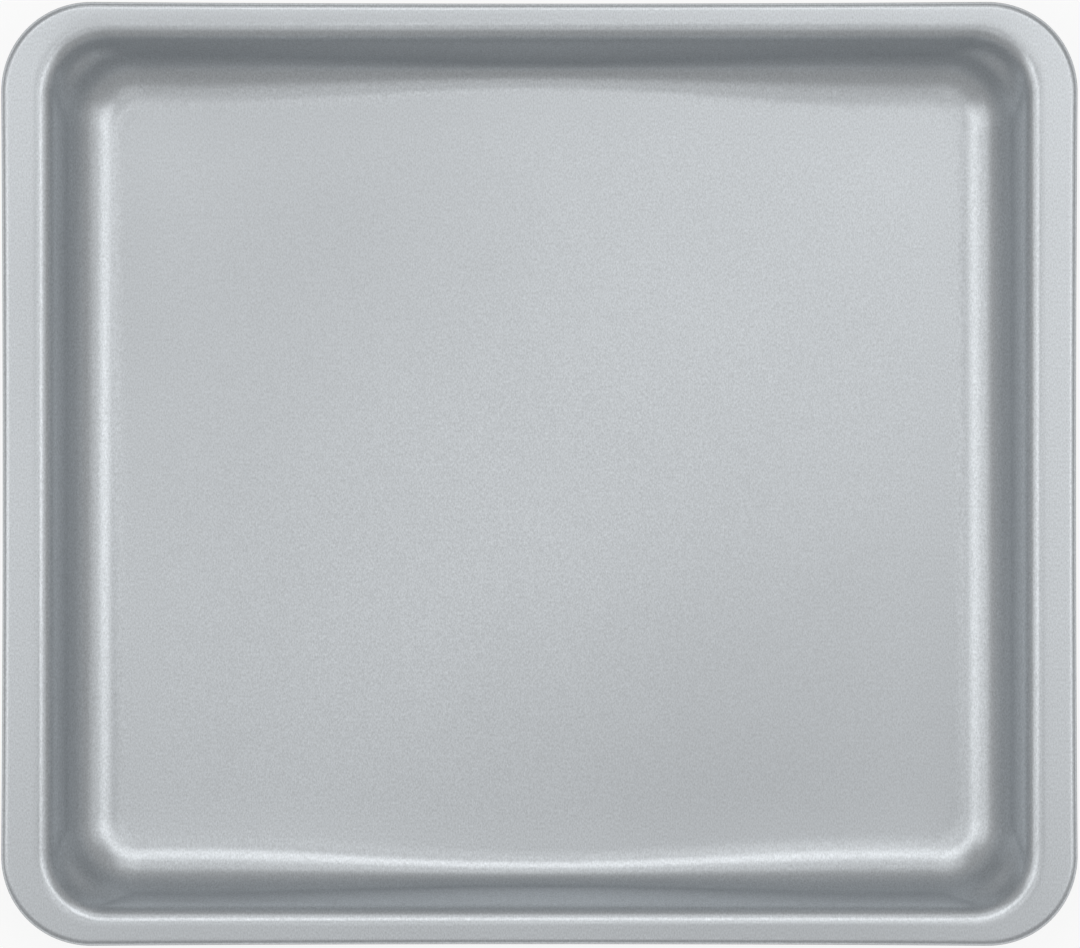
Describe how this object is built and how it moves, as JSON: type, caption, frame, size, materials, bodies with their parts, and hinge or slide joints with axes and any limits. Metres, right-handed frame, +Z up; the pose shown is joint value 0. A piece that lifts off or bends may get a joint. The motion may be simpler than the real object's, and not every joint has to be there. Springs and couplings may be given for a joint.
{
  "type": "cookie sheet",
  "caption": "Coated steel baking tray with rounded corners, leaning walls, a wide flat rim and an edge curled round a stiffening wire.",
  "frame": {"origin": "middle of the underside of the floor, on the surface that the tray rests on", "axes": "+X along the length, towards the right of the picture; +Y along the width, towards its top; +Z up, out of the tray"},
  "size_m": [0.406, 0.356, 0.031],
  "materials": {
    "coated_steel": "satin silver-grey non-stick coating with a fine metallic speckle",
    "wire_steel": "plain drawn steel"
  },
  "bodies": {
    "root": {"tray": "coated_steel", "rim_wire": "wire_steel"}
  },
  "joints": []
}
